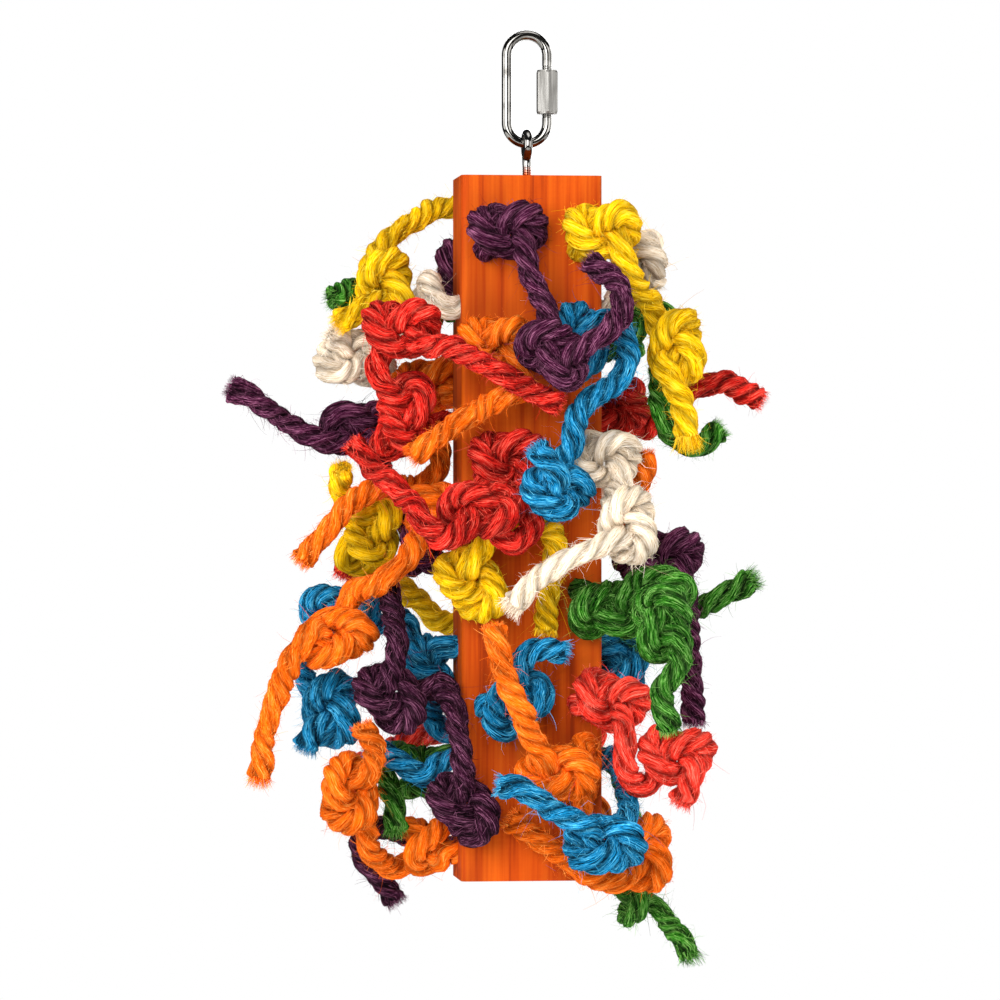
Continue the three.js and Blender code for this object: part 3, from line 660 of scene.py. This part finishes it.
def fuzzMesh(name, line, material, seed, form, brush, brushLength):
    random = numpy.random.default_rng(seed + form["seedShift"])
    along = lengthsAlong(line)
    tangent, normal, third = carriedFrame(line)
    count = int(along[-1] * form["perLength"])
    pick = random.integers(0, len(line), count)
    spin = random.uniform(0, 2 * math.pi, (count, 1))
    outward = numpy.cos(spin) * normal[pick] + numpy.sin(spin) * third[pick]
    base = line[pick] + random.uniform(*form["radii"], (count, 1)) * outward
    lean = random.choice([-1.0, 1.0], (count, 1)) * tangent[pick]
    kind = random.uniform(0, 1, count)
    wild = kind < form["wildShare"]
    loose = kind < form["looseShare"]
    rise = numpy.where(loose, form["looseOutward"], form["outward"])[:, None]
    direction = unit(rise * outward + lean + random.normal(0, form["scatter"], (count, 3)))
    looseSize = random.uniform(*form["looseLengths"], count)
    clingingSize = random.uniform(*form["lengths"], count)
    size = numpy.where(loose, looseSize, clingingSize)
    size = numpy.where(wild, random.uniform(*form["wildLengths"], count), size)
    bend = numpy.where(wild, form["wildCurl"], numpy.where(loose, form["looseCurl"], form["curl"]))
    reach = numpy.sqrt(random.uniform(0, 1, (brush, 1)))
    spin = random.uniform(0, 2 * math.pi, (brush, 1))
    radial = numpy.cos(spin) * normal[-1] + numpy.sin(spin) * third[-1]
    brushBase = line[-1] + tangent[-1] * form["brushStart"] + form["radii"][1] * reach * radial
    splay = form["brushSpread"] * (reach * radial + random.normal(0, form["brushScatter"], (brush, 3)))
    base = numpy.vstack([base, brushBase])
    direction = numpy.vstack([direction, unit(tangent[-1] + splay)])
    size = numpy.concatenate([size, brushLength * random.uniform(*form["brushLengths"], brush)])[:, None]
    width = numpy.concatenate([numpy.full(count, form["width"]), numpy.full(brush, form["brushWidth"])])
    width = width[:, None]
    total = count + brush
    curl = numpy.concatenate([bend, numpy.full(brush, form["curl"])])
    turning = form["leastTurn"] + numpy.abs(random.normal(0, 1, total) * curl)[:, None]
    inward = unit(numpy.cross(direction, random.normal(0, 1, (total, 3))))
    down = numpy.array([0.0, 0.0, -form["sag"]])

    def fibrePoint(step):
        arc = numpy.sin(turning * step) * direction + (1 - numpy.cos(turning * step)) * inward
        return base + size * (arc / turning + down * step ** 2)

    tip = fibrePoint(1.0) * metre
    lowest = numpy.array(cadBox[0]) - form["margin"] * metre
    highest = numpy.array(cadBox[1]) + form["margin"] * metre
    outside = ((tip < lowest) | (tip > highest)).any(axis=1, keepdims=True)
    size = numpy.where(outside, size * form["cut"], size)
    sideways = unit(numpy.cross(direction, random.normal(0, 1, (total, 3))))
    strips = []
    for step in numpy.linspace(0, 1, form["points"]):
        middle = fibrePoint(step)
        half = 0.5 * width * (1 - form["taper"] * step)
        strips.append(numpy.stack([middle - sideways * half, middle + sideways * half], axis=1))
    vertices = numpy.stack(strips, axis=1)
    perFibre = 2 * form["points"]
    first = numpy.arange(total)[:, None] * perFibre + 2 * numpy.arange(form["points"] - 1)[None, :]
    faces = numpy.stack([first, first + 1, first + 3, first + 2], axis=-1).reshape(-1, 4)
    made = makeObject(name, vertices.reshape(-1, 3), faces, material)
    addAttribute(made, "tone", "FLOAT", numpy.repeat(random.uniform(0, 1, total), perFibre))
    return made


# Ends that are more frayed than the rest: fibres in the brush and their usual length.
frayed = {"rope_side_3_front_a": (380, 4), "rope_side_5_back_b": (380, 5), "rope_front_1_right_a": (560, 6),
          "rope_front_4_right_b": (400, 5), "rope_front_3_right_a": (420, 4.5)}
# Ropes whose dye took paler or deeper than on the others of their colour.
ownShade = {"rope_front_5_right": "coral", "rope_front_6_left": "plum"}
# Tails pulled thin near the block, or thin all along: the share of the usual thickness, and for how far.
pulledThin = {"rope_front_1_right_b": (0.76, 110), "rope_side_5_back_b": (0.86, 200)}
notThin = (1.0, 1)

for number, rope in enumerate(frontRopes + sideRopes):
    lines, mouths = ropeTails(rope)
    dye = ownShade.get(rope["name"], rope["dye"])
    for side, (letter, line, mouth) in enumerate(zip("ab", lines, mouths)):
        seed = 2 * number + side
        name = f"{rope['name']}_{letter}"
        fineLine = evenLine(line, ropeForm["fineSpacing"])
        skipped = int(ropeForm["split"] / ropeForm["fineSpacing"])
        path = evenLine(fineLine[skipped:], ropeForm["spacing"])
        tail = ropeMesh(name, path, sisal[dye], seed, ropeForm, pulledThin.get(name, notThin))
        brush, brushLength = frayed.get(name, (fuzzForm["brush"], fuzzForm["brushLength"]))
        loose = fuzzMesh(f"{name}_fuzz", path, fuzz[dye], seed, fuzzForm, brush, brushLength)
        for piece in (tail, loose):
            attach(piece, "block")
        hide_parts(rope["name"])
print("stage: ropes")

# Wire of the quick link and the screw eye: a round section, with a screw thread over part of its length,
# where r = radius - depth (1 - sin(2 pi along / pitch + angle)) / 2.
threadForm = {"pitch": 1.0, "depth": 0.16}


def wireMesh(name, line, radius, sides, material, threaded):
    rings = len(line)
    along = lengthsAlong(line)
    tangent, normal, third = carriedFrame(line)
    angle = numpy.linspace(0, 2 * math.pi, sides, endpoint=False)
    wave = numpy.sin(2 * math.pi * along[:, None] / threadForm["pitch"] + angle[None, :])
    size = radius + threadForm["depth"] * (0.5 * wave - 0.5) * threaded[:, None]
    away = numpy.cos(angle)[:, None] * normal[:, None, :] + numpy.sin(angle)[:, None] * third[:, None, :]
    points = line[:, None, :] + size[..., None] * away
    vertices = numpy.vstack([points.reshape(-1, 3), line[0], line[-1]])
    centre = rings * sides
    faces = list(gridFaces(rings, sides)[:, ::-1])
    faces += list(fanFaces(0, sides, centre, False))
    faces += list(fanFaces(rings - 1, sides, centre + 1, True))
    return makeObject(name, vertices, faces, material)


# Zinc plated steel: bright wire with faint wear, a duller drawn nut, and dye on the shank at the wood.
# Wear is in marks to the metre: about 6 mm on the wire, and 1.4 by 17 mm along the nut.
steelSettings = {"plain": "#84827e", "dull": "#504e4b", "roughness": (0.06, 0.12), "wear": (160, 160, 160),
                 "stain": "#a04212", "stainLength": 3.5, "stainMost": 0.85}
sleeveSettings = {"plain": "#908e8a", "dull": "#6a6864", "roughness": (0.42, 0.52), "wear": (700, 700, 60)}
wearForm = {"detail": 4.0, "stops": (0.35, 0.6), "range": (0.3, 0.7)}


def steelMaterial(name, settings, stainTop=None):
    material, tree = newMaterial(name)
    place = addNode(tree, "ShaderNodeTexCoord")
    scaled = addNode(tree, "ShaderNodeMapping", None, {
        "Vector": place.outputs["Object"], "Scale": settings["wear"]})
    wear = addNode(tree, "ShaderNodeTexNoise", None, {
        "Vector": scaled.outputs["Vector"], "Scale": 1.0, "Detail": wearForm["detail"]})
    colours = (linear(settings["dull"]), linear(settings["plain"]))
    tone = addRamp(tree, wear.outputs["Fac"], list(zip(wearForm["stops"], colours)))
    rough = addNode(tree, "ShaderNodeMapRange", None, {
        "Value": wear.outputs["Fac"], "From Min": wearForm["range"][0], "From Max": wearForm["range"][1],
        "To Min": settings["roughness"][1], "To Max": settings["roughness"][0]})
    shader = addNode(tree, "ShaderNodeBsdfPrincipled", None, {
        "Base Color": tone.outputs["Color"], "Metallic": 1.0, "Roughness": rough.outputs["Result"]})
    if stainTop is not None:
        apart = addNode(tree, "ShaderNodeSeparateXYZ", None, {"Vector": place.outputs["Object"]})
        fade = addNode(tree, "ShaderNodeMapRange", None, {
            "Value": apart.outputs["Z"], "From Min": (stainTop - settings["stainLength"]) * metre,
            "From Max": stainTop * metre, "To Min": settings["stainMost"], "To Max": 0.0})
        stained = addNode(tree, "ShaderNodeMix", {"data_type": "RGBA"}, {
            "Factor": fade.outputs["Result"], 6: tone.outputs["Color"], 7: linear(settings["stain"])})
        tree.links.new(stained.outputs[2], shader.inputs["Base Color"])
    finishMaterial(tree, shader)
    return material


linkForm = {"wire": 4.2, "bow": 8.7, "upper": -6.6, "lower": -35.5, "gateTop": -24.9, "gateBottom": -29.5,
            "threadTop": -10.8, "threadBottom": -33.2, "sides": 24, "spacing": 0.25, "bowPoints": 49}


# Two half circles joined by straight legs: across = bow cos t and up = lower - bow sin t, and the upper one
# is that turned over.
def linkLine(form):
    turn = numpy.linspace(0, math.pi, form["bowPoints"])
    zero = numpy.zeros_like(turn)
    across = form["bow"] * numpy.cos(turn)
    rise = form["bow"] * numpy.sin(turn)
    lowerBow = numpy.stack([across, zero, form["lower"] - rise], axis=-1)
    upperBow = numpy.stack([-across, zero, form["upper"] + rise], axis=-1)
    start = [[form["bow"], 0, form["gateBottom"]]]
    end = [[form["bow"], 0, form["gateTop"]]]
    return evenLine(numpy.vstack([start, lowerBow, upperBow, end]), form["spacing"])


linkWire = linkLine(linkForm)
wireHeight = linkWire[:, 2]
byGate = (wireHeight > linkForm["threadBottom"]) & (wireHeight < linkForm["threadTop"])
linkThread = ((linkWire[:, 0] > 0) & byGate).astype(float)
steel = steelMaterial("zinc_plated_steel", steelSettings)
link = wireMesh("quick_link_wire", linkWire, linkForm["wire"] / 2, linkForm["sides"], steel, linkThread)
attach(link, "link")
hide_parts("quick_link")

# Hexagonal sleeve nut with turned-down corners. On the flats, r = half across / cos a, where a is the angle
# from the middle of the flat, and a cone cuts it at each end.
nutForm = {"x": 8.7, "top": -12.9, "length": 18.6, "across": 8.5, "bore": 2.4, "chamfer": 0.9,
           "endRadius": 4.25, "around": 72}


def nutMesh(form):
    angle = numpy.linspace(0, 2 * math.pi, form["around"], endpoint=False)
    sixth = math.pi / 3
    near = (angle + sixth / 2) % sixth - sixth / 2
    hexagon = form["across"] / 2 / numpy.cos(near)
    bore = numpy.full_like(angle, form["bore"])
    rim = numpy.minimum(hexagon, form["endRadius"])
    bottom = form["top"] - form["length"]
    rings = [(bottom, bore), (bottom, rim), (bottom + form["chamfer"], hexagon),
             (form["top"] - form["chamfer"], hexagon), (form["top"], rim), (form["top"], bore)]
    points = []
    for height, size in rings:
        level = numpy.full_like(angle, height)
        ring = [form["x"] + size * numpy.cos(angle), size * numpy.sin(angle), level]
        points.append(numpy.stack(ring, axis=-1))
    faces = gridFaces(len(rings) + 1, form["around"]) % (len(rings) * form["around"])
    material = steelMaterial("zinc_plated_sleeve", sleeveSettings)
    return makeObject("link_nut_sleeve", numpy.vstack(points), faces, material, False)


nut = nutMesh(nutForm)
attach(nut, "nut")
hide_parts("link_nut")

# Screw eye: shank in the wood, a short neck, and a ring on the link's lower bow that closes on the neck.
eyeForm = {"wire": 3.8, "ring": 5.0, "centre": -44.9, "opens": 38, "closes": 345, "turn": 18,
           "woodTop": -59, "depth": 25, "neck": ((0.2, -53.1), (1.2, -50.3)), "threadTop": -53.8,
           "sides": 20, "spacing": 0.25}


# The shank and the neck, then the ring: y = ring sin t and z = centre - ring cos t.
def eyeLine(form):
    points = [(0, 0, form["woodTop"] - form["depth"]), (0, 0, form["woodTop"] - form["depth"] / 2),
              (0, 0, form["woodTop"])]
    points += [(0, y, z) for y, z in form["neck"]]
    for degrees in range(form["opens"], form["closes"] + 1, form["turn"]):
        turn = math.radians(degrees)
        points.append((0, form["ring"] * math.sin(turn), form["centre"] - form["ring"] * math.cos(turn)))
    return evenLine(smoothLine(points), form["spacing"])


eyeWire = eyeLine(eyeForm)
stainedSteel = steelMaterial("zinc_plated_steel_dyed", steelSettings, eyeForm["threadTop"])
eyeThread = (eyeWire[:, 2] < eyeForm["threadTop"]).astype(float)
eye = wireMesh("screw_eye_wire", eyeWire, eyeForm["wire"] / 2, eyeForm["sides"], stainedSteel, eyeThread)
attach(eye, "block")
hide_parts("screw_eye")
print("stage: hardware")

# Planed pine with orange dye: long grain, finer lines in it, uneven dye in patches, and faint saw marks.
# grain, lines and patches are in waves to the millimetre, along X, Y and Z.
pineSettings = {"dark": "#882a00", "middle": "#ae3e00", "light": "#c65608", "stops": (0.5, 0.66, 0.92),
                "grain": (0.16, 0.16, 0.006), "grainDetail": 4.0,
                "lines": (0.75, 0.75, 0.016), "lineDetail": 3.0, "lineShare": 0.45,
                "patches": (0.03, 0.03, 0.014), "patchDetail": 2.0, "patch": "#681c00",
                "patchRange": (0.42, 0.72), "patchMost": 0.75, "noiseRoughness": 0.55,
                "sawPitch": 2.4, "sawWander": 2.0, "sawDetail": 2.0, "sawDetailScale": 0.3, "sawShare": 0.3,
                "bump": 0.35, "bumpDepth": 0.3, "roughness": 0.75, "specular": 0.1}
bandSpacing = 0.314  # of the wave texture at a scale of 1


def pineMaterial(name, settings):
    material, tree = newMaterial(name)
    place = addNode(tree, "ShaderNodeTexCoord")

    def stretched(perMillimetre, detail):
        scale = tuple(value / metre for value in perMillimetre)
        moved = addNode(tree, "ShaderNodeMapping", None, {"Vector": place.outputs["Object"], "Scale": scale})
        return addNode(tree, "ShaderNodeTexNoise", None, {
            "Vector": moved.outputs["Vector"], "Scale": 1.0, "Detail": detail,
            "Roughness": settings["noiseRoughness"]})

    grain = stretched(settings["grain"], settings["grainDetail"])
    lines = stretched(settings["lines"], settings["lineDetail"])
    patches = stretched(settings["patches"], settings["patchDetail"])
    both = addNode(tree, "ShaderNodeMath", {"operation": "MULTIPLY_ADD"}, {
        0: lines.outputs["Fac"], 1: settings["lineShare"], 2: grain.outputs["Fac"]})
    colours = [linear(settings[tone]) for tone in ("dark", "middle", "light")]
    ramp = addRamp(tree, both.outputs["Value"], list(zip(settings["stops"], colours)))
    cover = addNode(tree, "ShaderNodeMapRange", None, {
        "Value": patches.outputs["Fac"],
        "From Min": settings["patchRange"][0], "From Max": settings["patchRange"][1],
        "To Min": 0.0, "To Max": settings["patchMost"]})
    colour = addNode(tree, "ShaderNodeMix", {"data_type": "RGBA"}, {
        "Factor": cover.outputs["Result"], 6: ramp.outputs["Color"], 7: linear(settings["patch"])})
    saw = addNode(tree, "ShaderNodeTexWave", {"bands_direction": "Z"}, {
        "Vector": place.outputs["Object"], "Scale": bandSpacing / (settings["sawPitch"] * metre),
        "Distortion": settings["sawWander"], "Detail": settings["sawDetail"],
        "Detail Scale": settings["sawDetailScale"]})
    height = addNode(tree, "ShaderNodeMath", {"operation": "MULTIPLY_ADD"}, {
        0: saw.outputs["Fac"], 1: settings["sawShare"], 2: lines.outputs["Fac"]})
    bump = addNode(tree, "ShaderNodeBump", None, {
        "Height": height.outputs["Value"], "Strength": settings["bump"],
        "Distance": settings["bumpDepth"] * metre})
    shader = addNode(tree, "ShaderNodeBsdfPrincipled", None, {
        "Base Color": colour.outputs[2], "Roughness": settings["roughness"],
        "Specular IOR Level": settings["specular"], "Normal": bump.outputs["Normal"]})
    finishMaterial(tree, shader)
    return material


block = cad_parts["block"]
block.material_slots[0].material = pineMaterial("orange_dyed_pine", pineSettings)
print("stage: block")

# Pale floor well below the hanging toy, soft boxes, and a white room that lights less than it shows.
floorForm = {"height": -760, "radius": 1900, "sides": 96, "colour": "#f4f4f2", "roughness": 0.9}


# Painted floor, matt and nearly white.
def floorMaterial(form):
    material, tree = newMaterial("pale_floor")
    shader = addNode(tree, "ShaderNodeBsdfPrincipled", None, {
        "Base Color": linear(form["colour"]), "Roughness": form["roughness"]})
    finishMaterial(tree, shader)
    return material


# One flat disc: x = radius cos t and y = radius sin t.
floorTurn = numpy.linspace(0, 2 * math.pi, floorForm["sides"], endpoint=False)
floorLevel = numpy.full_like(floorTurn, floorForm["height"])
floorRound = [floorForm["radius"] * numpy.cos(floorTurn), floorForm["radius"] * numpy.sin(floorTurn)]
floorPoints = numpy.stack([*floorRound, floorLevel], axis=-1)
floor = makeObject("floor", floorPoints, [range(floorForm["sides"])], floorMaterial(floorForm))

# Square soft boxes, each turned to the light target.
lights = [
    {"name": "key", "place": (-750, -1850, 380), "size": 1400, "power": 62},
    {"name": "left", "place": (-1750, -500, 100), "size": 1200, "power": 20},
    {"name": "fill", "place": (1500, -1300, 100), "size": 1300, "power": 20},
    {"name": "top", "place": (200, -300, 1500), "size": 1200, "power": 14},
    {"name": "back", "place": (500, 1700, 300), "size": 1200, "power": 30},
    {"name": "right", "place": (1750, 500, 150), "size": 1200, "power": 14},
]
lightTarget = numpy.array([-10.0, 0.0, -200.0])
for light in lights:
    data = bpy.data.lights.new(light["name"], "AREA")
    data.shape = "SQUARE"
    data.size = light["size"] * metre
    data.energy = light["power"]
    lamp = bpy.data.objects.new(light["name"], data)
    away = numpy.array(light["place"], dtype=float) - lightTarget
    lamp.location = numpy.array(light["place"]) * metre
    level = math.hypot(away[0], away[1])
    lamp.rotation_euler = (math.atan2(level, away[2]), 0, math.atan2(away[1], away[0]) + math.pi / 2)
    bpy.context.scene.collection.objects.link(lamp)

# Strength of the white room: as the camera sees it, as it lights matt surfaces, and as polished steel
# mirrors it.
roomLight = {"seen": 1.0, "diffuse": 0.12, "mirrored": 0.05}
world = bpy.data.worlds.new("room")
bpy.context.scene.world = world
world.use_nodes = True
room = world.node_tree
room.nodes.clear()
seen = addNode(room, "ShaderNodeLightPath")
mirrored = addNode(room, "ShaderNodeMapRange", None, {
    "Value": seen.outputs["Is Glossy Ray"], "To Min": roomLight["diffuse"], "To Max": roomLight["mirrored"]})
brightness = addNode(room, "ShaderNodeMapRange", None, {
    "Value": seen.outputs["Is Camera Ray"],
    "To Min": mirrored.outputs["Result"], "To Max": roomLight["seen"]})
white = addNode(room, "ShaderNodeBackground", None, {
    "Color": linear("#ffffff"), "Strength": brightness.outputs["Result"]})
addNode(room, "ShaderNodeOutputWorld", None, {"Surface": white.outputs["Background"]})
bpy.context.scene.view_settings.view_transform = "Standard"
print("stage: room")
